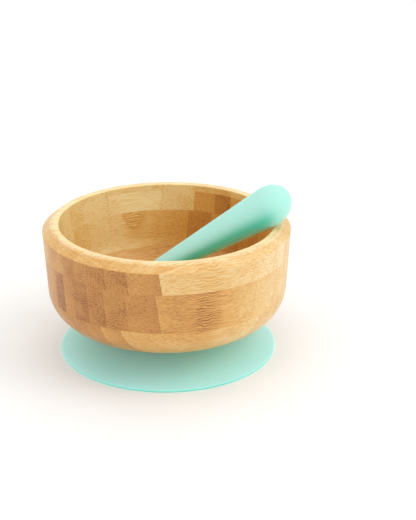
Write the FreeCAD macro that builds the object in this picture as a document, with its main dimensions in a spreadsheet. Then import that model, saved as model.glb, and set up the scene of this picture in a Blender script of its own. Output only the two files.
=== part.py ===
"""A suction bowl for a toddler: a turned bamboo bowl, a silicone suction ring and a silicone spoon.

The object stands on a table at z = 0, +Z up, with its origin on the bowl's axis. The camera side is -Y.
The bowl's foot is snapped into the ring's neck, and the spoon leans in the bowl, over the +X side of the rim.
"""
import FreeCAD, Part

import math
import os
import re

import Sketcher

from FreeCAD import Placement, Rotation, Vector

doc = FreeCAD.newDocument("SuctionBowl")

# ---------------------------------------------------------------- driving dimensions, in mm and degrees
SIZES = {
    # the turned bowl
    "bowl_radius": 65.0,
    "bowl_height": 54.0,
    "rim_wall": 8.5,
    "bevel_width": 4.7,
    "bevel_drop": 3.7,
    "base_inset": 3.0,
    "base_round": 20.0,
    "cavity_inset": 2.0,
    "cavity_round": 17.0,
    "floor_wall": 8.0,
    "edge_round": 0.5,
    # its foot, which the silicone neck grips
    "foot_radius": 26.6,
    "foot_depth": 9.0,
    "groove_depth": 0.8,
    "groove_top": 3.6,
    "groove_width": 3.4,
    # its lamination: three boards, each glued up from upright bamboo strips
    "bottom_board": 18.0,
    "middle_board": 21.0,
    "strips_across": 16,
    "bottom_shift": 1.2,
    "middle_shift": -1.5,
    "top_shift": -3.0,
    "grain_turn": 21.0,
    "blank_reach": 1.2,
    "blank_margin": 1.0,
    # the silicone ring
    "ring_height": 17.5,
    "snap_clearance": 0.3,
    "neck_wall": 2.3,
    "neck_drop": 2.5,
    "neck_round": 4.0,
    "lip_round": 0.6,
    "flare_out": 3.8,
    "flare_drop": 5.7,
    "web": 2.2,
    "split_gap": 0.3,
    "skirt_radius": 57.5,
    "edge_wall": 1.0,
    "seal_width": 2.5,
    # its release tab
    "tab_width": 14.7,
    "tab_reach": 15.5,
    "tab_wall": 2.0,
    "tab_lift": 0.6,
    "tab_gap": 0.3,
    "rib_count": 3,
    "rib_share": 0.62,
    "rib_pitch": 2.4,
    "rib_height": 0.5,
    "rib_width": 0.9,
    # the spoon
    "spoon_length": 124.0,
    "scoop_length": 36.0,
    "scoop_width": 22.0,
    "scoop_depth": 6.5,
    "scoop_wall": 1.8,
    "spoon_bend": 12.0,
    "throat_drop": 1.6,
    "handle_root": 9.0,
    "neck_width": 8.6,
    "handle_width": 24.4,
    "handle_flatness": 0.7,
    "handle_dome": 13.0,
    "spoon_roll": 20.0,
    "spoon_overhang": 12.0,
    "scoop_inset": 9.5,
    "spoon_clearance": 0.3,
}

sheet = doc.addObject("Spreadsheet::Sheet", "Sizes")
for row, (alias, value) in enumerate(SIZES.items(), start=1):
    sheet.set(f"A{row}", alias)
    sheet.set(f"B{row}", str(value))
    sheet.setAlias(f"B{row}", alias)
doc.recompute()


def size(alias):
    """A driving dimension, read back from the sheet."""
    return float(getattr(sheet, alias))


def cells(expression):
    """The expression with each alias written as the sheet's own cell."""
    return re.sub(r"[a-z_]+", lambda word: f"Sizes.{word[0]}" if word[0] in SIZES else word[0], expression)


def bind(obj, **expressions):
    """Binds each property of obj to an expression on the sheet."""
    for name, expression in expressions.items():
        obj.setExpression(name.replace("__", "."), cells(expression))


def evaluate(expression):
    """The value of an expression on the sheet, which part.py's own code needs now and then."""
    return float(sheet.evalExpression(expression))


# ---------------------------------------------------------------- helpers for turned and moulded bodies
def origin_plane(body, role):
    return next(f for f in body.Origin.OriginFeatures if f.Role == role)


def revolved_body(label, outline):
    """A PartDesign body turned about Z from an outline of (radius, height) pairs of expressions."""
    body = doc.addObject("PartDesign::Body", label)
    body.Label = label
    sketch = body.newObject("Sketcher::SketchObject", f"{label}_outline")
    sketch.AttachmentSupport = [(origin_plane(body, "XZ_Plane"), "")]
    sketch.MapMode = "FlatFace"
    values = [(evaluate(r), evaluate(z)) for r, z in outline]
    count = len(outline)
    for k in range(count):
        a, b = values[k], values[(k + 1) % count]
        sketch.addGeometry(Part.LineSegment(Vector(*a, 0), Vector(*b, 0)), False)
    for k in range(count):
        sketch.addConstraint(Sketcher.Constraint("Coincident", k, 2, (k + 1) % count, 1))
    for k, (radius, height) in enumerate(outline):
        if radius == "0":
            sketch.addConstraint(Sketcher.Constraint("PointOnObject", k, 1, -2))
        else:
            bound_distance(sketch, "DistanceX", k, radius, values[k][0])
        if height == "0":
            sketch.addConstraint(Sketcher.Constraint("PointOnObject", k, 1, -1))
        else:
            bound_distance(sketch, "DistanceY", k, height, values[k][1])
    turn = body.newObject("PartDesign::Revolution", f"{label}_turned")
    turn.Profile = sketch
    turn.ReferenceAxis = (sketch, ["V_Axis"])
    turn.Angle = 360
    doc.recompute()
    return body


def bound_distance(sketch, kind, line, expression, value):
    """Fixes a line's start at a distance from the origin that follows the sheet."""
    index = sketch.addConstraint(Sketcher.Constraint(kind, -1, 1, line, 1, value))
    sketch.setExpression(f"Constraints[{index}]", cells(expression))


def round_edges(body, radius, *circles):
    """Fillets the body's circular edges that have these (radius, height) expressions."""
    wanted = [(evaluate(r), evaluate(z)) for r, z in circles]
    turned = body.Tip
    names = []
    for number, edge in enumerate(turned.Shape.Edges, start=1):
        if not isinstance(edge.Curve, Part.Circle):
            continue
        found = (edge.Curve.Radius, edge.Curve.Center.z)
        if any(math.dist(found, want) < 0.01 for want in wanted):
            names.append(f"Edge{number}")
    if len(names) < len(wanted):
        raise RuntimeError(f"{body.Label}: {len(wanted)} edges wanted, {len(names)} found")
    fillet = body.newObject("PartDesign::Fillet", f"{body.Label}_round_{radius}")
    fillet.Base = (turned, names)
    bind(fillet, Radius=radius)
    doc.recompute()
    return fillet


parts = []


def keep(obj, label):
    """Lists an object as one of the sub-parts that are written out."""
    obj.Label = label
    parts.append(obj)
    return obj


# ---------------------------------------------------------------- the bowl, turned from one laminated block
RIM = "ring_height + bowl_height"
FIRST_SEAM = "ring_height + bottom_board"
SECOND_SEAM = "ring_height + bottom_board + middle_board"
FOOT_BOTTOM = "ring_height - foot_depth"
CAVITY_FLOOR = "ring_height + floor_wall"
# the corners that the side walls would reach if nothing were rounded
BASE_RADIUS = "bowl_radius - base_inset"
CAVITY_RADIUS = "bowl_radius - rim_wall - cavity_inset"


def turned_bowl():
    """The bowl as it comes off the lathe, before it is told apart into its strips."""
    groove_low = "ring_height - groove_top - groove_width"
    bowl = revolved_body("turned_bowl", [
        ("0", FOOT_BOTTOM),
        ("foot_radius", FOOT_BOTTOM),
        ("foot_radius", groove_low),
        ("foot_radius - groove_depth", groove_low),
        ("foot_radius - groove_depth", "ring_height - groove_top"),
        ("foot_radius", "ring_height - groove_top"),
        ("foot_radius", "ring_height"),
        (BASE_RADIUS, "ring_height"),
        ("bowl_radius", f"{RIM} - bevel_drop"),
        ("bowl_radius - bevel_width", RIM),
        ("bowl_radius - rim_wall", RIM),
        (CAVITY_RADIUS, CAVITY_FLOOR),
        ("0", CAVITY_FLOOR),
    ])
    round_edges(bowl, "base_round", (BASE_RADIUS, "ring_height"))
    round_edges(bowl, "cavity_round", (CAVITY_RADIUS, CAVITY_FLOOR))
    round_edges(bowl, "edge_round",
                ("bowl_radius - rim_wall", RIM),
                ("bowl_radius - bevel_width", RIM),
                ("foot_radius", FOOT_BOTTOM))
    return bowl


def lay_up(bowl, board, shift, low, high):
    """Cuts one board of the block into its upright strips, each a part of its own.

    The strips run along a line turned by grain_turn from X, side by side from -Y to +Y. The seams are a
    strip's width apart, moved by the board's shift, and the first and last strips reach past the wall.
    """
    count = int(size("strips_across"))
    reach = "bowl_radius * blank_reach"
    pitch = "2 * bowl_radius / strips_across"
    for number in range(1, count + 1):
        near = f"-({reach})" if number == 1 else f"-bowl_radius + {number - 1} * {pitch} + {shift}"
        far = reach if number == count else f"-bowl_radius + {number} * {pitch} + {shift}"
        blank = doc.addObject("Part::Box", f"{board}_blank_{number:02d}")
        blank.Placement = Placement(Vector(), Rotation(Vector(0, 0, 1), size("grain_turn")))
        bind(blank,
             Length=f"2 * {reach}",
             Width=f"({far}) - ({near})",
             Height=f"({high}) - ({low})",
             Placement__Base__x=f"-({reach}) * cos(grain_turn) - ({near}) * sin(grain_turn)",
             Placement__Base__y=f"-({reach}) * sin(grain_turn) + ({near}) * cos(grain_turn)",
             Placement__Base__z=low,
             Placement__Rotation__Angle="grain_turn")
        strip = doc.addObject("Part::Common", f"{board}_strip_{number:02d}")
        strip.Base = bowl
        strip.Tool = blank
        keep(strip, f"{board}_strip_{number:02d}")


bowl = turned_bowl()
lay_up(bowl, "bottom_board", "bottom_shift", f"{FOOT_BOTTOM} - blank_margin", FIRST_SEAM)
lay_up(bowl, "middle_board", "middle_shift", FIRST_SEAM, SECOND_SEAM)
lay_up(bowl, "top_board", "top_shift", SECOND_SEAM, f"{RIM} + blank_margin")


# ---------------------------------------------------------------- the silicone ring
NECK_OUTSIDE = "foot_radius + snap_clearance + neck_wall"
# where the neck's collar goes over into the skirt's cone
FLARE_RADIUS = f"{NECK_OUTSIDE} + flare_out"
FLARE_HEIGHT = "ring_height - flare_drop"


def snap_neck():
    """The collar that the bowl's foot snaps into, with the lip that sits in the foot's groove."""
    mouth = "foot_radius + snap_clearance"
    lip = "foot_radius - groove_depth + snap_clearance"
    lip_top = "ring_height - groove_top - snap_clearance"
    lip_low = "ring_height - groove_top - groove_width + snap_clearance"
    shoulder = "ring_height - neck_drop"
    neck = revolved_body("snap_neck", [
        (mouth, "ring_height"),
        (mouth, lip_top),
        (lip, lip_top),
        (lip, lip_low),
        (f"{FLARE_RADIUS} - split_gap", f"{FLARE_HEIGHT} - web"),
        (f"{FLARE_RADIUS} - split_gap", FLARE_HEIGHT),
        (NECK_OUTSIDE, shoulder),
        (NECK_OUTSIDE, "ring_height"),
    ])
    round_edges(neck, "neck_round", (NECK_OUTSIDE, shoulder))
    round_edges(neck, "lip_round", (mouth, "ring_height"), (NECK_OUTSIDE, "ring_height"))
    return keep(neck, "snap_neck")


def suction_skirt():
    """The thin cone that flattens on the table and holds the vacuum under its seal band."""
    skirt = revolved_body("suction_skirt", [
        (FLARE_RADIUS, FLARE_HEIGHT),
        (FLARE_RADIUS, f"{FLARE_HEIGHT} - web"),
        ("skirt_radius - seal_width", "0"),
        ("skirt_radius", "0"),
        ("skirt_radius", "edge_wall"),
    ])
    return keep(skirt, "suction_skirt")


def release_tab():
    """The flat tongue on the skirt's far edge that is lifted to let the air in, with its grip ribs."""
    root = "skirt_radius + tab_gap"
    half = "tab_width / 2"
    tongue = doc.addObject("Part::Box", "tab_tongue")
    tongue.Placement = Placement(Vector(), Rotation())
    bind(tongue,
         Length="tab_width",
         Width=f"tab_reach - {half} + skirt_radius - ({root})",
         Height="tab_wall",
         Placement__Base__x=f"-({half})",
         Placement__Base__y=root,
         Placement__Base__z="tab_lift")
    lobe = doc.addObject("Part::Cylinder", "tab_lobe")
    bind(lobe,
         Radius=half,
         Height="tab_wall",
         Placement__Base__y=f"skirt_radius + tab_reach - {half}",
         Placement__Base__z="tab_lift")
    pieces = [tongue, lobe]
    for number in range(1, int(size("rib_count")) + 1):
        from_middle = f"({number} - (rib_count + 1) / 2) * rib_pitch"
        rib = doc.addObject("Part::Box", f"tab_rib_{number}")
        bind(rib,
             Length="tab_width * rib_share",
             Width="rib_width",
             Height="rib_height + tab_wall / 2",
             Placement__Base__x="-tab_width * rib_share / 2",
             Placement__Base__y=f"skirt_radius + tab_reach - {half} + {from_middle}",
             Placement__Base__z="tab_lift + tab_wall / 2")
        pieces.append(rib)
    tab = doc.addObject("Part::MultiFuse", "release_tab")
    tab.Shapes = pieces
    tab.Refine = True
    return keep(tab, "release_tab")


snap_neck()
suction_skirt()
release_tab()


# ---------------------------------------------------------------- the spoon
HANDLE_END = "spoon_length - handle_dome"
ACROSS = Rotation(Vector(0, 1, 0), Vector(0, 0, 1), Vector(1, 0, 0), "XYZ")
LEAN_LIMITS = (2.0, 55.0)
HALVINGS = 30
STATIONS = 300
SECTION_STEPS = 18


def spoon_solid():
    """The spoon in its own frame: scoop tip at the origin, +X to the handle, scoop's rim in z = 0."""
    scoop = doc.addObject("Part::Ellipsoid", "scoop_outside")
    bind(scoop,
         Radius1="scoop_depth",
         Radius2="scoop_length / 2",
         Radius3="scoop_width / 2",
         Placement__Base__x="scoop_length / 2")
    scoop.Angle2 = 0
    hollow = doc.addObject("Part::Ellipsoid", "scoop_hollow")
    bind(hollow,
         Radius1="scoop_depth - scoop_wall",
         Radius2="scoop_length / 2 - scoop_wall",
         Radius3="scoop_width / 2 - scoop_wall",
         Placement__Base__x="scoop_length / 2")
    handle = doc.addObject("Part::Loft", "handle_taper")
    handle.Sections = [
        handle_section("root", "scoop_length - handle_root", "neck_width / 2", "scoop_wall"),
        handle_section("throat", "scoop_length", "neck_width / 2", "neck_width / 2 * handle_flatness"),
        handle_section("end", HANDLE_END, "handle_width / 2", "handle_width / 2 * handle_flatness"),
    ]
    handle.Solid = True
    handle.Ruled = True
    dome = doc.addObject("Part::Ellipsoid", "handle_round_end")
    dome.Placement = square_to_handle()
    dome.Angle1 = 0
    bind(dome,
         Radius1="handle_dome",
         Radius2="handle_width / 2",
         Radius3="handle_width / 2 * handle_flatness",
         Placement__Base__x=along_handle(HANDLE_END)[0],
         Placement__Base__z=along_handle(HANDLE_END)[1])
    solid = doc.addObject("Part::MultiFuse", "spoon_blank")
    solid.Shapes = [scoop, handle, dome]
    spoon = doc.addObject("Part::Cut", "spoon")
    spoon.Base = solid
    spoon.Tool = hollow
    return spoon


def along_handle(distance):
    """The x and z of the handle's axis, as expressions, at a distance from the tip along the spoon."""
    past = f"(({distance}) - scoop_length)"
    return f"scoop_length + {past} * cos(spoon_bend)", f"{past} * sin(spoon_bend) - throat_drop"


def square_to_handle():
    """A placement at the origin whose Z lies along the handle's axis and whose X lies along Y."""
    return Placement(Vector(), Rotation(Vector(0, 1, 0), -size("spoon_bend")).multiply(ACROSS))


def handle_section(name, distance, half_width, half_wall):
    """An ellipse square to the handle's axis, wide along Y."""
    section = doc.addObject("Part::Ellipse", f"handle_{name}")
    section.Placement = square_to_handle()
    x, z = along_handle(distance)
    bind(section,
         MajorRadius=half_width,
         MinorRadius=half_wall,
         Placement__Base__x=x,
         Placement__Base__z=z)
    return section


def handle_underside():
    """Points on the lower half of the handle, in the spoon's own frame.

    They go on at the taper's full width to where the round end stops, so that some always lie past the rim.
    """
    bend = math.radians(size("spoon_bend"))
    throat_half = evaluate("neck_width / 2")
    end_half = evaluate("handle_width / 2")
    taper_run = evaluate(f"{HANDLE_END} - scoop_length")
    points = []
    for station in range(STATIONS + 1):
        run = (taper_run + size("handle_dome")) * station / STATIONS
        half_width = throat_half + (end_half - throat_half) * min(1, run / taper_run)
        for step in range(SECTION_STEPS + 1):
            turn = math.pi * (1 + step / SECTION_STEPS)
            up = half_width * size("handle_flatness") * math.sin(turn)
            points.append(Vector(
                size("scoop_length") + run * math.cos(bend) - up * math.sin(bend),
                half_width * math.cos(turn),
                run * math.sin(bend) + up * math.cos(bend) - size("throat_drop")))
    return points


def leaning_placement():
    """Where the spoon comes to rest: scoop on the bowl's floor, handle over the rim on the +X side.

    The scoop's centre lies scoop_inset inside the edge of the flat floor, or as far in as the overhang
    past the rim leaves it. The scoop's height is its ellipsoid's reach below its centre. The lean is found
    by halving an interval until the handle's underside clears the rim's inner edge by spoon_clearance.
    """
    roll = math.radians(size("spoon_roll"))
    half = Vector(size("scoop_length") / 2, size("scoop_width") / 2, size("scoop_depth"))
    floor = evaluate(f"{CAVITY_FLOOR} + spoon_clearance")
    rim_radius = evaluate("bowl_radius - rim_wall")
    rim_height = evaluate(RIM)
    underside = handle_underside()

    def placed(lean):
        turn = Rotation(Vector(0, 1, 0), -math.degrees(lean)).multiply(
            Rotation(Vector(1, 0, 0), math.degrees(roll)))
        down = turn.inverted().multVec(Vector(0, 0, 1))
        reach = math.sqrt((half.x * down.x) ** 2 + (half.y * down.y) ** 2 + (half.z * down.z) ** 2)
        length = evaluate("spoon_length - scoop_length / 2")
        from_corner = evaluate(f"{CAVITY_RADIUS} - cavity_round - scoop_inset")
        from_rim = length * math.cos(lean) - rim_radius - size("spoon_overhang")
        centre = Vector(-min(from_corner, from_rim), 0, floor + reach)
        return Placement(centre - turn.multVec(Vector(half.x, 0, 0)), turn)

    def rim_gap(lean):
        place = placed(lean)
        # a point is clear of the wall if it is above the rim or inside the rim's edge
        return min(max(p.z - rim_height, rim_radius - math.hypot(p.x, p.y))
                   for p in map(place.multVec, underside)) - size("spoon_clearance")

    low, high = map(math.radians, LEAN_LIMITS)
    for _ in range(HALVINGS):
        middle = (low + high) / 2
        low, high = (low, middle) if rim_gap(middle) > 0 else (middle, high)
    return placed(high)


spoon = keep(spoon_solid(), "spoon")
spoon.Placement = leaning_placement()
doc.recompute()


# ---------------------------------------------------------------- checks and export
for obj in doc.Objects:
    if {"Invalid", "Error"} & set(obj.State):
        raise RuntimeError(f"{obj.Label} failed: {obj.State}")

os.makedirs("parts", exist_ok=True)
for part in parts:
    shape = part.Shape
    if shape.isNull() or not shape.isValid() or not shape.Solids:
        raise RuntimeError(f"{part.Label} has no valid solid")
    shape.exportStep(f"parts/{part.Label}.step")
    print(f"{part.Label:24s} solids {len(shape.Solids)}  volume {shape.Volume:10.1f} mm3")
lean = spoon.Placement
print("spoon tip", [round(c, 2) for c in lean.Base], "lean", [round(a, 2) for a in lean.Rotation.toEuler()])
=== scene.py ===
# %% [markdown]
# # A suction bowl, looks first
#
# The object has three things that come apart in the hand: a bowl turned from laminated bamboo, a silicone
# ring whose thin skirt sucks onto the table, and a silicone spoon. The imported CAD model gives every size
# and every joint. This lesson dresses it. The bowl's 48 bamboo strips keep their CAD shapes and get a
# material that knows which strip it is on. The ring, its release tab and the spoon are made again as
# smooth surfaces, because silicone has no flat facets and no sharp corners.
#
# We start with the fixed frame, and read from the CAD model the heights the rest needs: the rim's top, the
# seams between the boards and the collar's top.

import math

import bpy
import numpy as np
from mathutils import Matrix, Vector


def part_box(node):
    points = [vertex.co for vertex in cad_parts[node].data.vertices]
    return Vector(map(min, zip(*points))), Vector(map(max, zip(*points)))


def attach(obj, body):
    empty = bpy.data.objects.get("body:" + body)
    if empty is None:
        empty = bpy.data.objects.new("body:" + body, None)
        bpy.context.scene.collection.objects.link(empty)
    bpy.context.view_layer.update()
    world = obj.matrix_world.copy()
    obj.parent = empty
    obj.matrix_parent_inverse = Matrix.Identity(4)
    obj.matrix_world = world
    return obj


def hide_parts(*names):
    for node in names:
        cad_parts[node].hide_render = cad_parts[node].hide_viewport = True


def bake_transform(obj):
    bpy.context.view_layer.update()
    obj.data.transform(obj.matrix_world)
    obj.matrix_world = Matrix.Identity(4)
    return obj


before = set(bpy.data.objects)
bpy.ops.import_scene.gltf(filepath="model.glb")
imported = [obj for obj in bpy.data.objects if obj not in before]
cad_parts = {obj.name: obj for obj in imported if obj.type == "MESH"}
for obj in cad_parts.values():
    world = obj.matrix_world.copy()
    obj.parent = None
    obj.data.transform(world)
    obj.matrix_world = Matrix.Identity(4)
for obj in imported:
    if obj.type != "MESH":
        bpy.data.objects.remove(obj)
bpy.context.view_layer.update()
MM = 0.001
rim_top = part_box("top_board_strip_01")[1].z
board_seams = [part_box("bottom_board_strip_01")[1].z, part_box("middle_board_strip_01")[1].z]
ring_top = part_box("snap_neck")[1].z

# %% [markdown]
# ## The table, the light and the camera
#
# A product picture of pale silicone wants soft light from nearly everywhere, so that no shadow has a hard
# edge. A white room does most of it, brightest overhead and dimmer towards the horizon, so that what faces
# up is lighter than a wall. One large panel on the right gives the bowl a light side and a shaded side. The
# picture is shown with the Standard view, which leaves white paper white.

# %% The table
def plain_sheet(name, half, height):
    """A flat square, half its side each way from the Z axis."""
    mesh = bpy.data.meshes.new(name)
    corners = [(-half, -half, height), (half, -half, height), (half, half, height), (-half, half, height)]
    mesh.from_pydata(corners, [], [(0, 1, 2, 3)])
    obj = bpy.data.objects.new(name, mesh)
    bpy.context.scene.collection.objects.link(obj)
    return obj


table = plain_sheet("table", half=6.0, height=-0.1 * MM)

# %% The lights
scene = bpy.context.scene
scene.view_settings.view_transform = "Standard"
world = bpy.data.worlds.new("white_room")
scene.world = world
world.use_nodes = True
room = world.node_tree.nodes["Background"]
HORIZON_LIGHT, CEILING_LIGHT = 0.80, 1.25
direction = world.node_tree.nodes.new("ShaderNodeTexCoord")
split = world.node_tree.nodes.new("ShaderNodeSeparateXYZ")
rise = world.node_tree.nodes.new("ShaderNodeMapRange")
rise.inputs["To Min"].default_value = HORIZON_LIGHT
rise.inputs["To Max"].default_value = CEILING_LIGHT
world.node_tree.links.new(direction.outputs["Generated"], split.inputs[0])
world.node_tree.links.new(split.outputs["Z"], rise.inputs["Value"])
world.node_tree.links.new(rise.outputs[0], room.inputs["Strength"])
room.inputs["Color"].default_value = (1.0, 1.0, 1.0, 1.0)


def soft_panel(name, place, target, side, watts):
    """A square area lamp at a place, turned to face a target."""
    lamp = bpy.data.lights.new(name, "AREA")
    lamp.size = side
    lamp.energy = watts
    obj = bpy.data.objects.new(name, lamp)
    obj.location = place
    obj.rotation_euler = (Vector(target) - Vector(place)).to_track_quat("-Z", "Y").to_euler()
    scene.collection.objects.link(obj)
    return obj


middle = (0.0, 0.0, 0.05)
soft_panel("key_panel", (1.10, -0.35, 1.15), middle, 0.9, 5.0)

# %% The camera
CAMERA_ASIDE, CAMERA_AWAY, CAMERA_OVER_RIM = 21.6 * MM, 673.2 * MM, 254.4 * MM
LOOKS_DOWN = math.radians(22.38)
camera = bpy.data.objects.new("camera", bpy.data.cameras.new("camera"))
camera.location = (CAMERA_ASIDE, -CAMERA_AWAY, rim_top + CAMERA_OVER_RIM)
camera.rotation_euler = (math.pi / 2 - LOOKS_DOWN, 0, 0)
camera.data.lens = 95.19
camera.data.clip_end = 50.0
scene.collection.objects.link(camera)
scene.camera = camera
print("camera", [round(c, 4) for c in camera.location], "lens", camera.data.lens)

# %% [markdown]
# ## A way to write shaders as sums
#
# A material is a little calculation that runs at every point. Node by node it is long to write and hard to
# read, so one class holds a value of that calculation and answers to + - * /, and another holds the
# material and adds any node in one call.

# %% Values and finishes
class Value:
    """A number that the shader works out at each point. Python's operators add the Math nodes."""

    def __init__(self, finish, socket):
        self.finish = finish
        self.socket = socket

    def maths(self, operation, *others):
        return self.finish.maths(operation, self, *others)

    def __add__(self, other):
        return self.maths("ADD", other)

    __radd__ = __add__

    def __mul__(self, other):
        return self.maths("MULTIPLY", other)

    __rmul__ = __mul__

    def __sub__(self, other):
        return self.maths("SUBTRACT", other)

    def __rsub__(self, other):
        return self.finish.maths("SUBTRACT", other, self)

    def __truediv__(self, other):
        return self.maths("DIVIDE", other)

    def ramp_up(self, low, high):
        """0 below low, 1 above high, and smooth between them."""
        return self.finish.node("ShaderNodeMapRange", {"interpolation_type": "SMOOTHSTEP"},
                                {"Value": self, "From Min": low, "From Max": high})

    def hump(self, centre, width):
        """1 at the centre, falling off on both sides like exp(-(distance / width) squared)."""
        off = (self - centre) / width
        return (-1.0 * (off * off)).maths("EXPONENT")


class Finish:
    """A material and its nodes."""

    def __init__(self, name):
        self.material = bpy.data.materials.new(name)
        self.material.use_nodes = True
        self.tree = self.material.node_tree
        self.tree.nodes.clear()
        self.place = self.node("ShaderNodeTexCoord", output="Object")

    def node(self, kind, settings=None, inputs=None, output=0):
        """Adds a node. Its settings come first, then a value or a link for each socket named."""
        node = self.tree.nodes.new(kind)
        for key, value in (settings or {}).items():
            if key == "stops":
                self.set_stops(node.color_ramp, value)
            elif key == "interpolation":
                node.color_ramp.interpolation = value
            else:
                setattr(node, key, value)
        for key, value in (inputs or {}).items():
            if isinstance(value, Value):
                self.tree.links.new(value.socket, node.inputs[key])
            else:
                node.inputs[key].default_value = value
        return Value(self, node.outputs[output])

    @staticmethod
    def set_stops(ramp, stops):
        """Each stop is a position from 0 to 1 and a colour."""
        while len(ramp.elements) < len(stops):
            ramp.elements.new(0.5)
        for element, (position, colour) in zip(ramp.elements, stops):
            element.position = position
            element.color = (*colour, 1.0)

    def maths(self, operation, *values):
        return self.node("ShaderNodeMath", {"operation": operation}, dict(enumerate(values)))

    def along(self, direction):
        """How far the point lies along a direction, in millimetres."""
        return self.node("ShaderNodeVectorMath", {"operation": "DOT_PRODUCT"},
                         {0: self.place, 1: direction}, output="Value") / MM

    def vector(self, x, y, z):
        return self.node("ShaderNodeCombineXYZ", None, {0: x, 1: y, 2: z})

    def noise(self, where, scale=1.0, detail=2.0, roughness=0.5, distortion=0.0):
        """Smooth noise from 0 to 1."""
        return self.node("ShaderNodeTexNoise", None,
                         {"Vector": where, "Scale": scale, "Detail": detail, "Roughness": roughness,
                          "Distortion": distortion})

    def mix(self, share, below, above, blend="MIX"):
        """A colour between two colours."""
        return self.node("ShaderNodeMix", {"data_type": "RGBA", "blend_type": blend},
                         {0: share, 6: below, 7: above}, output=2)

    def bump(self, height, distance, strength=1.0):
        return self.node("ShaderNodeBump", None,
                         {"Height": height, "Distance": distance, "Strength": strength})

    def finish(self, **sockets):
        """The Principled shader with these sockets set or linked, going to the surface."""
        inputs = {name.replace("_", " "): value for name, value in sockets.items()}
        shader = self.node("ShaderNodeBsdfPrincipled", None, inputs)
        output = self.tree.nodes.new("ShaderNodeOutputMaterial")
        self.tree.links.new(shader.socket, output.inputs["Surface"])
        return self.material


def colour(red, green, blue):
    """A screen colour, each part 0 to 255, as the linear light that a shader works in."""
    parts = np.array([red, green, blue]) / 255.0
    return tuple(np.where(parts > 0.04045, ((parts + 0.055) / 1.055) ** 2.4, parts / 12.92).tolist())


def solid(red, green, blue):
    """The same with full opacity, for a colour socket."""
    return (*colour(red, green, blue), 1.0)


# %% [markdown]
# ## The table's finish
#
# White card: nearly white, quite rough, and with a faint unevenness, so that its soft shadows do not look
# painted on.

# %% White card
card = Finish("white_card")
mottle = card.noise(card.place, scale=30.0)
table.data.materials.append(card.finish(
    Base_Color=card.mix(mottle, solid(243, 243, 242), solid(249, 249, 248)),
    Roughness=0.75))

# %% [markdown]
# ## Laminated bamboo
#
# The bowl is turned from a block of three boards. Each board is glued from 16 upright strips of bamboo, and
# one strip differs from the next in colour, because each comes from another part of a cane. A strip is wide
# where the wall runs along it and shows only its end where the wall crosses it, so the same bowl has broad
# planks at the front and close stripes at the left.
#
# A picture of wood wrapped round the bowl would miss that. The colour is therefore worked out in the space
# of the block: how far across the strips a point lies, how far along them and how high. Those three
# numbers say which strip it is on, and each board's own table gives that strip's tone and where its
# knuckle is. The fibres are a noise stretched along the strip: dots on the ends, streaks on the sides.

# %% Where a point lies in the block
GRAIN_TURN = math.radians(21)
BOWL_RADIUS = 65.0
STRIPS = 16
BOARD_SHIFTS = (1.2, -1.5, -3.0)

bamboo = Finish("laminated_bamboo")
along = bamboo.along((math.cos(GRAIN_TURN), math.sin(GRAIN_TURN), 0))
across = bamboo.along((-math.sin(GRAIN_TURN), math.cos(GRAIN_TURN), 0))
height = bamboo.along((0, 0, 1))
over_first = height.maths("GREATER_THAN", board_seams[0] / MM)
over_second = height.maths("GREATER_THAN", board_seams[1] / MM)
shift = (BOARD_SHIFTS[0] + over_first * (BOARD_SHIFTS[1] - BOARD_SHIFTS[0])
         + over_second * (BOARD_SHIFTS[2] - BOARD_SHIFTS[1]))
block_share = (across + BOWL_RADIUS - shift) / (2 * BOWL_RADIUS)
strip_share = (block_share * STRIPS).maths("FRACT")
print("strip width", 2 * BOWL_RADIUS / STRIPS, "mm")

# %% Each strip's tone and knuckle
# for each strip: its tone at the left end and at the right end, from 0, dark, to 1, pale, and how far along
# the strip its knuckle lies, in mm, or None
STRIP_TABLES = {
    "bottom": [
        (0.64, 0.84, -4), (0.62, 0.88, 30), (0.44, 0.84, None), (0.34, 0.80, None),
        (0.36, 0.76, None), (0.32, 0.70, None), (0.40, 0.60, 20), (0.34, 0.54, None),
        (0.42, 0.50, None), (0.38, 0.44, None), (0.48, 0.42, None), (0.44, 0.36, None),
        (0.52, 0.40, None), (0.50, 0.42, None), (0.56, 0.44, 26), (0.56, 0.46, None),
    ],
    "middle": [
        (0.44, 0.72, -1), (0.30, 0.84, None), (0.30, 0.86, None), (0.24, 0.84, None),
        (0.20, 0.78, None), (0.34, 0.72, None), (0.18, 0.64, None), (0.38, 0.52, None),
        (0.44, 0.36, None), (0.52, 0.20, None), (0.64, 0.28, None), (0.72, 0.18, None),
        (0.80, 0.28, None), (0.72, 0.22, None), (0.86, 0.50, None), (0.86, 0.74, 0),
    ],
    "top": [
        (0.82, 0.88, 0), (0.36, 0.95, None), (0.27, 0.95, None), (0.24, 0.88, None),
        (0.32, 0.80, None), (0.30, 0.74, None), (0.42, 0.66, None), (0.46, 0.54, None),
        (0.58, 0.40, None), (0.68, 0.26, None), (0.74, 0.34, None), (0.72, 0.40, None),
        (0.84, 0.10, None), (0.78, 0.40, None), (0.90, 0.78, None), (1.00, 1.00, None),
    ],
}


def board_ramp(table):
    """A ramp with one flat step a strip. Red is its left tone, blue its right tone, and green its knuckle's
    share of the way across the bowl, or 0."""
    stops = []
    for number, (left, right, knuckle) in enumerate(table):
        place = 0.0 if knuckle is None else (knuckle + BOWL_RADIUS) / (2 * BOWL_RADIUS)
        stops.append((number / STRIPS, (left, place, right)))
    return bamboo.node("ShaderNodeValToRGB", {"stops": stops, "interpolation": "CONSTANT"}, {0: block_share})


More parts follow.
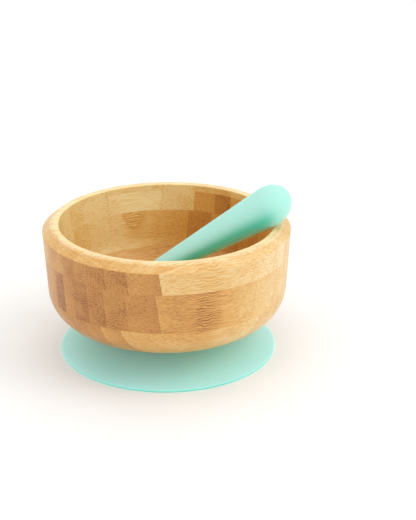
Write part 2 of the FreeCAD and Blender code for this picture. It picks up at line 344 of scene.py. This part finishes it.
lower_boards = bamboo.mix(over_first, board_ramp(STRIP_TABLES["bottom"]), board_ramp(STRIP_TABLES["middle"]))
strip_facts = bamboo.mix(over_second, lower_boards, board_ramp(STRIP_TABLES["top"]))
left_tone, knuckle_share, right_tone = (
    bamboo.node("ShaderNodeSeparateColor", None, {0: strip_facts}, output=part) for part in range(3))
tone = left_tone + (right_tone - left_tone) * along.ramp_up(-22.0, 26.0)
has_knuckle = knuckle_share.maths("GREATER_THAN", 0.005)
from_knuckle = along - (knuckle_share * (2 * BOWL_RADIUS) - BOWL_RADIUS)

# %% Fibres, dots and ripples
KNUCKLE_REACH = 7.0
RIPPLE_PITCH = 1.35
knuckle = from_knuckle / KNUCKLE_REACH
knuckle = (-1.0 * (knuckle * knuckle) * (knuckle * knuckle)).maths("EXPONENT") * has_knuckle
slow = bamboo.noise(bamboo.vector(along * 0.02, across * 0.12, height * 0.12), detail=1.0)
wander = bamboo.noise(bamboo.vector(along * 0.16, across * 0.16, height * 0.22), detail=2.0)
waves = bamboo.noise(bamboo.vector(along * 0.05, across * 0.1, height * 0.1), detail=1.0).ramp_up(0.42, 0.66)
ripple = ((height + wander * 4.5) * (2 * math.pi / RIPPLE_PITCH)).maths("SINE").ramp_up(-0.9, 0.9)
fibre = bamboo.noise(bamboo.vector(along * 0.07, across * 1.5, height * 1.5), detail=3.0, roughness=0.6)
dots = bamboo.node("ShaderNodeTexVoronoi", {"feature": "F1"},
                   {"Vector": bamboo.vector(along * 0.04, across * 1.1, height * 1.1), "Scale": 1.0})
dots = 1.0 - dots.ramp_up(0.10, 0.42)
glue = strip_share.hump(0.0, 0.018) + strip_share.hump(1.0, 0.018)
for seam in board_seams:
    glue = glue + height.hump(seam / MM, 0.14)
glue = glue.maths("MINIMUM", 1.0)

# %% The bamboo's colour and shine
BAMBOO_TONES = [
    (0.0, colour(150, 88, 36)),
    (0.3, colour(192, 134, 68)),
    (0.55, colour(214, 160, 86)),
    (0.8, colour(227, 187, 122)),
    (1.0, colour(238, 212, 164)),
    (1.25, colour(250, 233, 194)),
]
BEVEL_TONE, RIM_SANDED_HIGHLIGHT_TONE = 0.82, 1.0
radius = (along * along + across * across).maths("SQRT")
# a round surface halfway through the wall, which widens over the floor: nearer the axis is the inside
WALL_MIDDLE_LOW, WALL_MIDDLE_WIDENS = 50.0, 9.0
wall_middle = WALL_MIDDLE_LOW + WALL_MIDDLE_WIDENS * height.ramp_up(24.0, 34.0)
inside = (wall_middle - radius).ramp_up(-1.0, 1.0) * height.ramp_up(22.0, 24.0)
# the bevel is paler from sanding; the rim's top is paler still, partly from sanding and partly a painted
# highlight
bevel = height.ramp_up(rim_top / MM - 3.9, rim_top / MM - 3.4)
rim = height.ramp_up(rim_top / MM - 1.0, rim_top / MM - 0.2)
sanded_and_highlit = tone + bevel * 0.7 * (BEVEL_TONE - tone)
sanded_and_highlit = sanded_and_highlit + rim * 0.75 * (RIM_SANDED_HIGHLIGHT_TONE - sanded_and_highlit)
# what each adds to the tone or takes from it, where 1 is the whole way from dark to pale
# the inside is painted paler: painted light, standing for light bounced between the bowl's walls
INSIDE_PAINTED_LIGHT, FIBRE_SPREAD, SLOW_SPREAD, ACROSS_STRIP = 0.17, 0.62, 0.22, 0.08
DOTS_DARKER, RIPPLE_DARKER, GLUE_DARKER = 0.18, 0.13, 0.08
KNUCKLE_DARKER, KNUCKLE_RIPPLE, KNUCKLE_INSIDE, KNUCKLE_ROOM = 0.04, 0.42, 1.3, 1.15
in_knuckle = (knuckle * (KNUCKLE_ROOM - sanded_and_highlit) * (1.0 + inside * KNUCKLE_INSIDE)
              * (KNUCKLE_DARKER + ripple * KNUCKLE_RIPPLE))
shade = (sanded_and_highlit + inside * INSIDE_PAINTED_LIGHT + (fibre - 0.5) * FIBRE_SPREAD + (slow - 0.5) * SLOW_SPREAD
         + (strip_share - 0.5) * ACROSS_STRIP - dots * DOTS_DARKER - ripple * waves * RIPPLE_DARKER
         - in_knuckle - glue * GLUE_DARKER)
PALEST = BAMBOO_TONES[-1][0]
tone_stops = [(tone_place / PALEST, tone_colour) for tone_place, tone_colour in BAMBOO_TONES]
wood_colour = bamboo.node("ShaderNodeValToRGB", {"stops": tone_stops, "interpolation": "EASE"},
                          {0: shade / PALEST})
# the inside is also painted warmer, a painted warm bounce of light between its walls, multiplied into the
# wood's colour
PAINTED_WARM_BOUNCE = solid(255, 250, 226)
wood_colour = bamboo.mix(inside, wood_colour, bamboo.mix(1.0, wood_colour, PAINTED_WARM_BOUNCE, blend="MULTIPLY"))
bamboo_finish = bamboo.finish(
    Base_Color=wood_colour,
    Roughness=0.42 + dots * 0.14 - fibre * 0.06,
    Normal=bamboo.bump(fibre * 0.4 - dots * 0.5 - glue * 0.8, 0.06 * MM, 0.6),
    Specular_IOR_Level=0.42,
    Coat_Weight=0.12,
    Coat_Roughness=0.28)

strips = [node for name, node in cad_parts.items() if "_strip_" in name]
for strip in strips:
    for slot in strip.material_slots:
        slot.material = bamboo_finish
print("bamboo on", len(strips), "strips")

# %% [markdown]
# ## Silicone
#
# Moulded silicone is soft looking for two reasons. Light goes a little way in and comes out beside where
# it entered, so edges glow and folds take a deeper colour. And its skin is a fine matt that spreads every
# highlight. The mould also leaves a very slight unevenness.
#
# The shader carries light only a few millimetres, so the rest is painted. The mesh carries a number for
# painted
# shade and glow: on the ring where it faces the axis or the table and along its thin outer edge, on the spoon
# in a band along the handle's sides and under the scoop. There the colour is painted deeper, as painted
# shade, and on the ring a painted glow stands for light that comes through the wall.

# %% The silicone finish
def silicone(name, pale, warm, inner, glow, mottle_size):
    """Two close colours in slow patches. Where the mesh's painted shade and glow number says so, a painted
    deeper colour for shade, and a painted glow for light that comes through the wall."""
    skin = Finish(name)
    patches = skin.noise(skin.place, scale=1.0 / mottle_size, detail=2.0)
    skin_grain = skin.noise(skin.place, scale=2400.0, detail=1.0)
    depth = skin.node("ShaderNodeAttribute", {"attribute_name": "depth"}, output="Fac")
    return skin.finish(
        Base_Color=skin.mix(depth, skin.mix(patches, solid(*pale), solid(*warm)), solid(*inner)),
        Roughness=0.46 + skin_grain * 0.08,
        Normal=skin.bump(skin_grain, 0.02 * MM, 0.25),
        Specular_IOR_Level=0.35,
        Subsurface_Weight=0.7,
        Subsurface_Radius=(0.3, 1.0, 0.85),
        Subsurface_Scale=3.0 * MM,
        Sheen_Weight=0.08,
        Sheen_Roughness=0.6,
        Emission_Color=skin.mix(depth, solid(0, 0, 0), solid(*glow)),
        Emission_Strength=1.0)


MINT_PALE, MINT_WARM = (184, 241, 235), (176, 238, 229)
# the ring's third colour is its painted deeper shade colour, the fourth its painted glow
ring_silicone = silicone("ring_silicone", MINT_PALE, MINT_WARM, (0, 226, 196), (0, 84, 68), mottle_size=0.05)
SPOON_PALE, SPOON_WARM, NO_GLOW = (177, 231, 220), (170, 228, 214), (0, 0, 0)
# the spoon's third colour is its painted deeper shade colour, and it gets no painted glow
spoon_silicone = silicone("spoon_silicone", SPOON_PALE, SPOON_WARM, (80, 216, 192), NO_GLOW, mottle_size=0.04)

# %% [markdown]
# ## Making a mesh from a grid
#
# Every silicone piece is a grid of points, worked out as whole arrays: rows go along the piece and columns
# go round it. One function joins the grid into faces, and can close a row of points at either end.

# %% A grid of points becomes a mesh
def volume(mesh):
    """In cubic millimetres: a sixth of a . (b x c), summed over the triangles. It is positive if the faces
    point outwards."""
    mesh.calc_loop_triangles()
    triangles = np.empty(3 * len(mesh.loop_triangles), np.int32)
    mesh.loop_triangles.foreach_get("vertices", triangles)
    points = np.empty(3 * len(mesh.vertices))
    mesh.vertices.foreach_get("co", points)
    a, b, c = points.reshape(-1, 3)[triangles].reshape(-1, 3, 3).transpose(1, 0, 2) / MM
    return float((a * np.cross(b, c)).sum() / 6)


def mesh_from_grid(name, grid, close_ends=False, ring_rows=False, depth=None):
    """Joins an array of rows x columns points, in metres, into one smooth closed mesh.

    Each point makes a four-sided face with its neighbours in the next row and column. Columns always close
    on themselves. Rows close too if ring_rows is set, as on a ring, and close_ends fills the two last rows.
    The painted shade and glow array, one number a point, goes with the mesh for its material to read.
    """
    rows, columns = grid.shape[:2]
    row = np.arange(rows if ring_rows else rows - 1)[:, None]
    column = np.arange(columns)[None, :]
    next_row, next_column = (row + 1) % rows, (column + 1) % columns
    faces = np.stack([row * columns + column, row * columns + next_column,
                      next_row * columns + next_column, next_row * columns + column], axis=-1).reshape(-1, 4)
    faces = faces.tolist()
    if close_ends:
        faces.append(list(range(columns))[::-1])
        faces.append([(rows - 1) * columns + k for k in range(columns)])
    mesh = bpy.data.meshes.new(name)
    mesh.from_pydata(grid.reshape(-1, 3).tolist(), [], faces)
    mesh.polygons.foreach_set("use_smooth", np.ones(len(faces), bool))
    mesh.validate()
    if depth is not None:
        stored = mesh.attributes.new("depth", "FLOAT", "POINT")
        stored.data.foreach_set("value", depth.astype(np.float32).reshape(-1))
    obj = bpy.data.objects.new(name, mesh)
    scene.collection.objects.link(obj)
    print(name, len(mesh.vertices), "points,", len(mesh.polygons), "faces,", round(volume(mesh), 1), "mm3")
    return obj


def smooth_step(value, low, high):
    """0 below low, 1 above high, and 3t^2 - 2t^3 between them."""
    t = np.clip((value - low) / (high - low), 0, 1)
    return t * t * (3 - 2 * t)


# %% [markdown]
# ## The suction ring
#
# The ring is one moulding: a collar that the bowl's foot snaps into, and a skirt that flattens on the table
# and holds it by suction. It is round, so it is a profile carried round the axis. The profile is drawn as a
# few corner points with a radius at each, as a mould maker would, and the long outer side sags a little like
# a trumpet's bell. In the CAD the collar and the skirt are two bodies with a sliding joint between them,
# because the skirt gives when the bowl is pressed down. Here one surface covers both.

# %% The ring's profile
def rounded_outline(corners, steps=10):
    """A closed outline from (r, z, radius) corners.

    Each corner becomes an arc of that radius that touches both its sides: it starts at
    radius / tan(half the corner's angle) from the corner, and its centre lies on the line that halves it.
    """
    points = np.array([c[:2] for c in corners], float)
    radii = np.array([c[2] for c in corners], float)
    pieces = []
    for k, radius in enumerate(radii):
        here, before, after = points[k], points[k - 1], points[(k + 1) % len(points)]
        into, out = before - here, after - here
        into, out = into / np.hypot(*into), out / np.hypot(*out)
        half_angle = 0.5 * math.acos(np.clip(into @ out, -1, 1))
        if radius <= 0:
            pieces.append(here[None])
            continue
        middle_line = (into + out) / np.hypot(*(into + out))
        centre = here + middle_line * radius / math.sin(half_angle)
        start = here + into * radius / math.tan(half_angle) - centre
        end = here + out * radius / math.tan(half_angle) - centre
        first = math.atan2(start[1], start[0])
        turn = (math.atan2(end[1], end[0]) - first + math.pi) % (2 * math.pi) - math.pi
        angles = first + turn * np.linspace(0, 1, steps)
        pieces.append(centre + radius * np.stack([np.cos(angles), np.sin(angles)], axis=-1))
    return np.concatenate(pieces)


def evenly_spaced(outline, spacing):
    """The same closed outline with more points on its long sides, none further apart than the spacing."""
    closed = np.vstack([outline, outline[:1]])
    lengths = np.hypot(*np.diff(closed, axis=0).T)
    pieces = [np.linspace(closed[k], closed[k + 1], max(1, math.ceil(lengths[k] / spacing)), endpoint=False)
              for k in range(len(lengths)) if lengths[k] > 1e-6]
    return np.concatenate(pieces)


RING_CORNERS = [
    (26.9, 17.5, 0.9), (26.9, 13.9, 0.25), (26.1, 13.4, 0.25), (26.1, 10.8, 0.3),
    (33.0, 9.5, 6.0), (55.0, 0.05, 1.2), (57.3, 0.02, 0.3), (57.5, 1.05, 0.45),
    (33.4, 11.7, 8.0), (29.4, 15.0, 2.6), (29.4, 17.5, 1.0),
]
BELL_SAG, SAG_FROM, SAG_SPAN = 0.9, 31.0, 25.5
OFF_THE_TABLE = 0.3
profile = evenly_spaced(rounded_outline(RING_CORNERS), spacing=0.9)
sag = BELL_SAG * np.sin(np.pi * np.clip((profile[:, 0] - SAG_FROM) / SAG_SPAN, 0, 1)) ** 1.5
profile[:, 1] -= sag * (profile[:, 1] > OFF_THE_TABLE)
print("ring profile", len(profile), "points, r", profile[:, 0].min(), "to", profile[:, 0].max())

# %% The ring's surface
def turned(outline, around):
    """The outline carried round Z: each point (r, z) becomes (r cos a, r sin a, z)."""
    angles = np.linspace(0, 2 * np.pi, around, endpoint=False)
    radius, level = outline[:, 0][None, :], outline[:, 1][None, :]
    return np.stack([radius * np.cos(angles)[:, None], radius * np.sin(angles)[:, None],
                     level + 0 * angles[:, None]], axis=-1) * MM


# where the ring's thin outer edge starts, and how much painted glow it gets
THIN_FROM, THIN_EDGE_GLOW = 57.0, 0.35


def facing_inwards(outline):
    """How much each point of the outline faces the axis or the table, which is how much painted shade and
    glow it
    gets: the outward normal is the direction between its two neighbours turned a quarter turn clockwise. The
    thin outer edge gets some of that painted shade and glow too."""
    run = np.roll(outline, -1, axis=0) - np.roll(outline, 1, axis=0)
    outward = np.stack([run[:, 1], -run[:, 0]], axis=-1) / np.hypot(*run.T)[:, None]
    thin_edge_glow = (outline[:, 0] > THIN_FROM) * (outward[:, 1] < 0.6) * THIN_EDGE_GLOW
    return np.maximum(smooth_step(np.maximum(-outward[:, 0], -outward[:, 1]), 0.2, 0.8), thin_edge_glow)


ROUND = 240
# the ring's painted shade and glow, from how much each point faces the axis or the table
ring_painted_shade_glow = np.tile(facing_inwards(profile), (ROUND, 1))
# the columns are taken backwards, so that the faces point outwards
ring_points = turned(profile, ROUND)
ring = mesh_from_grid("suction_ring", ring_points[:, ::-1], ring_rows=True, depth=ring_painted_shade_glow[:, ::-1])
ring.data.materials.append(ring_silicone)
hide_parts("suction_skirt", "snap_neck")
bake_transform(ring)

# %% [markdown]
# ## The release tab
#
# A tongue on the far edge is lifted to let air in. It is as flat as a coin, rounded at its end, wider where
# it grows out of the skirt, and has three ribs for a wet finger. Its cross-section is a rounded slab that
# is carried away from the skirt, narrowing as a half circle at the end.

# %% The tab's shape
TAB_ROOT, TAB_END, TAB_HALF_WIDTH = 55.4, 73.0, 7.35
TAB_MIDDLE, TAB_HALF_THICKNESS = 1.6, 1.0
RIB_PLACES = (63.25, 65.65, 68.05)
RIB_HEIGHT, RIB_REACH = 0.5, 0.42
ROOT_FLARE, ROOT_REACH = 2.6, 1.5


def tab_grid(stations=150, columns=72):
    """Rows go from the skirt to the tip, columns round the slab.

    The half width is a straight side plus a root that flares as exp(-distance), and the last part follows
    a circle. The slab is the curve |x / w|^4 + |z / h|^2.4 = 1, and the ribs lift its upper side.
    """
    swing = np.linspace(0, np.pi / 2 - 0.004, stations)
    y = TAB_ROOT + (TAB_END - TAB_ROOT) * np.sin(swing)
    from_centre = np.clip((y - (TAB_END - TAB_HALF_WIDTH)) / TAB_HALF_WIDTH, 0, 1)
    flared = TAB_HALF_WIDTH + ROOT_FLARE * np.exp(-(y - TAB_ROOT) / ROOT_REACH)
    half_width = flared * np.sqrt(1 - from_centre ** 2)
    half_thickness = TAB_HALF_THICKNESS * (1 - from_centre ** 6) ** 0.5 + 0.001
    angle = np.linspace(0, 2 * np.pi, columns, endpoint=False)
    side = np.sign(np.cos(angle)) * np.abs(np.cos(angle)) ** 0.5
    lift = np.sign(np.sin(angle)) * np.abs(np.sin(angle)) ** (2 / 2.4)
    x = half_width[:, None] * side
    z = TAB_MIDDLE + half_thickness[:, None] * lift
    ribs = sum(np.exp(-((y - place) / RIB_REACH) ** 4) for place in RIB_PLACES)[:, None]
    z = z + RIB_HEIGHT * ribs * smooth_step(lift, 0.55, 0.95) * (1 - smooth_step(np.abs(x), 4.0, 4.7))
    return np.stack([x, y[:, None] + 0 * x, z], axis=-1) * MM


tab = mesh_from_grid("release_tab_tongue", tab_grid()[:, ::-1], close_ends=True)
tab.data.materials.append(ring_silicone)
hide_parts("release_tab")
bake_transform(tab)

# %% [markdown]
# ## The spoon
#
# The spoon is one soft moulding with a small egg-shaped scoop and a fat handle that swells to a round end.
# It is a single skin: at each station along the spoon there is one closed loop, whose lower half is the
# belly and whose upper half is the top. The top dips below the rim in the scoop and rises above it in the
# handle, and between the two it changes over smoothly, so there is no joint to hide.

# %% The spoon's line and widths
SPOON_LENGTH, SCOOP_LENGTH, SCOOP_WIDEST = 124.0, 36.0, 16.5
SCOOP_HALF, SCOOP_DEPTH, WALL, LIP = 11.0, 5.5, 1.5, 1.25
RIM_SAG = 2.4
THROAT_HALF, HANDLE_HALF, HANDLE_DOME, FLATNESS = 4.7, 12.2, 13.0, 0.68
EDGE = 1.6
SPOON_BEND = math.radians(12)
THROAT_DROP = 1.6
SEAM_HEIGHT, SEAM_WIDTH = 0.14, 0.25
TIP_FULLNESS = 1.15
# the painted shade band along the handle's sides: where it lies round the loop in degrees, how wide and how
# strong, then how strong the painted shade under the scoop is
BAND_TURN, BAND_REACH, BAND_PAINTED_SHADE, BELLY_PAINTED_SHADE = 171, 25, 0.9, 0.6
SPOON_LEAN, SPOON_ROLL = math.radians(21.13), math.radians(20)
SPOON_TIP = (-44.79, 0.0, 28.63)
FLOOR_WALL = 8.0 * MM


def half_width(s):
    """The outline: a quarter ellipse to the widest point, a smooth step in to the throat, and a straight
    taper out along the handle, closed by a quarter ellipse."""
    from_widest = np.clip(SCOOP_WIDEST - s, 0, None) / SCOOP_WIDEST
    tip = SCOOP_HALF * np.sqrt(np.clip(1 - from_widest ** 2, 0, 1)) ** TIP_FULLNESS
    into_throat = smooth_step(s, SCOOP_WIDEST, SCOOP_LENGTH + 3.5)
    end = SPOON_LENGTH - HANDLE_DOME
    along_handle = np.clip((s - SCOOP_LENGTH) / (end - SCOOP_LENGTH), 0, 1)
    taper = THROAT_HALF + (HANDLE_HALF - THROAT_HALF) * along_handle
    dome = np.sqrt(np.clip(1 - (np.clip(s - end, 0, None) / HANDLE_DOME) ** 2, 0, 1))
    return tip * (1 - into_throat) + taper * dome * into_throat


def half_oval(s, middle, reach):
    """sqrt(1 - ((s - middle) / reach)^2), and 0 outside it: how deep a scoop is along its length."""
    return np.sqrt(np.clip(1 - ((s - middle) / reach) ** 2, 0, 1))


# %% The spoon's skin
def spoon_grid(stations=320, columns=136):
    """One loop a station, in the spoon's own frame: tip at the origin, +X along the scoop, rim near z = 0.

    The line runs straight and then turns up by the bend, so its x and z are the running sums of the cosine
    and sine of its angle. A loop's columns crowd near the two sides, where the mould's fine seam runs.
    The scoop's side view sags by a half sine. Its hollow is (1 - (y / inner)^2)^0.8 deep and its belly
    (1 - |y / w|^2.4)^0.5, under a rim with an edge of its own thickness. The handle is the curve
    |y / w|^2.6 + |z / h|^2.2 = 1 with a fine seam at its sides, and a smooth step joins it to the scoop.
    The second result is each point's painted shade: a band along the handle's sides, and the scoop's
    underside.
    """
    s = SPOON_LENGTH * (1 - np.cos(np.linspace(0.0, np.pi, stations))) / 2
    s[0], s[-1] = 0.01, SPOON_LENGTH - 0.003
    angle = SPOON_BEND * smooth_step(s, SCOOP_LENGTH - 7, SCOOP_LENGTH + 7)
    step = np.diff(s, prepend=0.0)
    line_x, line_z = np.cumsum(step * np.cos(angle)), np.cumsum(step * np.sin(angle))
    width = half_width(s)
    round_trip = np.linspace(0, 2 * np.pi, columns, endpoint=False)[None, :]
    turn = round_trip - 0.28 * np.sin(2 * round_trip)
    share = np.cos(turn)
    y = width[:, None] * share
    upper = np.sin(turn) > 0
    # the scoop
    rim = (-RIM_SAG * np.sin(np.pi * np.clip(s / SCOOP_LENGTH, 0, 1)) ** 1.3)[:, None]
    belly = (-SCOOP_DEPTH * half_oval(s, SCOOP_LENGTH / 2, SCOOP_LENGTH / 2))[:, None]
    inner = ((width - LIP) * np.clip((33.5 - s) / 5.0, 0, 1) ** 0.4)[:, None] + 1e-3
    hollow_floor = (-(SCOOP_DEPTH - WALL) * half_oval(s, 17.0, 16.6))[:, None]
    hollow = np.clip(1 - (y / inner) ** 2, 0, 1) ** 0.8
    scoop_top = rim + np.minimum(hollow_floor - rim, 0) * hollow
    edge = (EDGE * np.sqrt(np.clip(1 - (np.clip(1.3 - s, 0, None) / 1.3) ** 2, 0, 1)))[:, None]
    scoop_low = (rim - edge * np.sqrt(np.clip(1 - np.abs(share) ** 16, 0, 1))
                 + np.minimum(belly - rim + edge, 0) * np.sqrt(np.clip(1 - np.abs(share) ** 2.4, 0, 1)))
    # the handle
    thick = (width * FLATNESS)[:, None]
    oval = thick * np.clip(1 - np.abs(share) ** 2.6, 0, 1) ** (1 / 2.2)
    drop = (THROAT_DROP * smooth_step(s, 26, SCOOP_LENGTH))[:, None]
    in_handle = smooth_step(s, SCOOP_LENGTH - 8, SCOOP_LENGTH + 3)[:, None]
    seam = SEAM_HEIGHT * np.exp(-(thick * np.sin(turn) / SEAM_WIDTH) ** 2) * smooth_step(s, 40, 46)[:, None]
    y = y + np.sign(share) * seam * smooth_step(width, 1.5, 4.0)[:, None]
    over_line = np.where(upper, (1 - in_handle) * scoop_top + in_handle * (oval - drop),
                         (1 - in_handle) * scoop_low - in_handle * (oval + drop))
    x = line_x[:, None] - over_line * np.sin(angle)[:, None]
    z = line_z[:, None] + over_line * np.cos(angle)[:, None]
    way_round = np.degrees(turn)
    band = sum(np.exp(-((way_round - side) / BAND_REACH) ** 2) for side in (BAND_TURN, 180 - BAND_TURN))
    band = band * (1 - smooth_step(s, 106, 119))[:, None]
    # painted shade: the band along the handle's sides, fading before the round end, and the scoop's underside
    depth = BAND_PAINTED_SHADE * band * in_handle + BELLY_PAINTED_SHADE * (~upper) * (1 - in_handle)
    return np.stack([x, y, z], axis=-1), depth


def spoon_at_rest(grid):
    """Rolls the spoon about its own length, leans it up and sets its tip down, in millimetres."""
    turn = Matrix.Rotation(-SPOON_LEAN, 3, "Y") @ Matrix.Rotation(SPOON_ROLL, 3, "X")
    return grid @ np.array(turn).T + np.array(SPOON_TIP)


spoon_points, spoon_painted_shade = spoon_grid()
spoon = mesh_from_grid("spoon_moulding", spoon_at_rest(spoon_points) * MM, close_ends=True, depth=spoon_painted_shade)
spoon.data.materials.append(spoon_silicone)
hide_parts("spoon")
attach(spoon, "spoon")
low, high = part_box("spoon")
corners = np.array([v.co for v in spoon.data.vertices])
print("spoon CAD box", list(low), list(high))
print("spoon made as", corners.min(0), corners.max(0))
print("spoon over the bowl's floor by", (corners[:, 2].min() - ring_top - FLOOR_WALL) / MM, "mm")
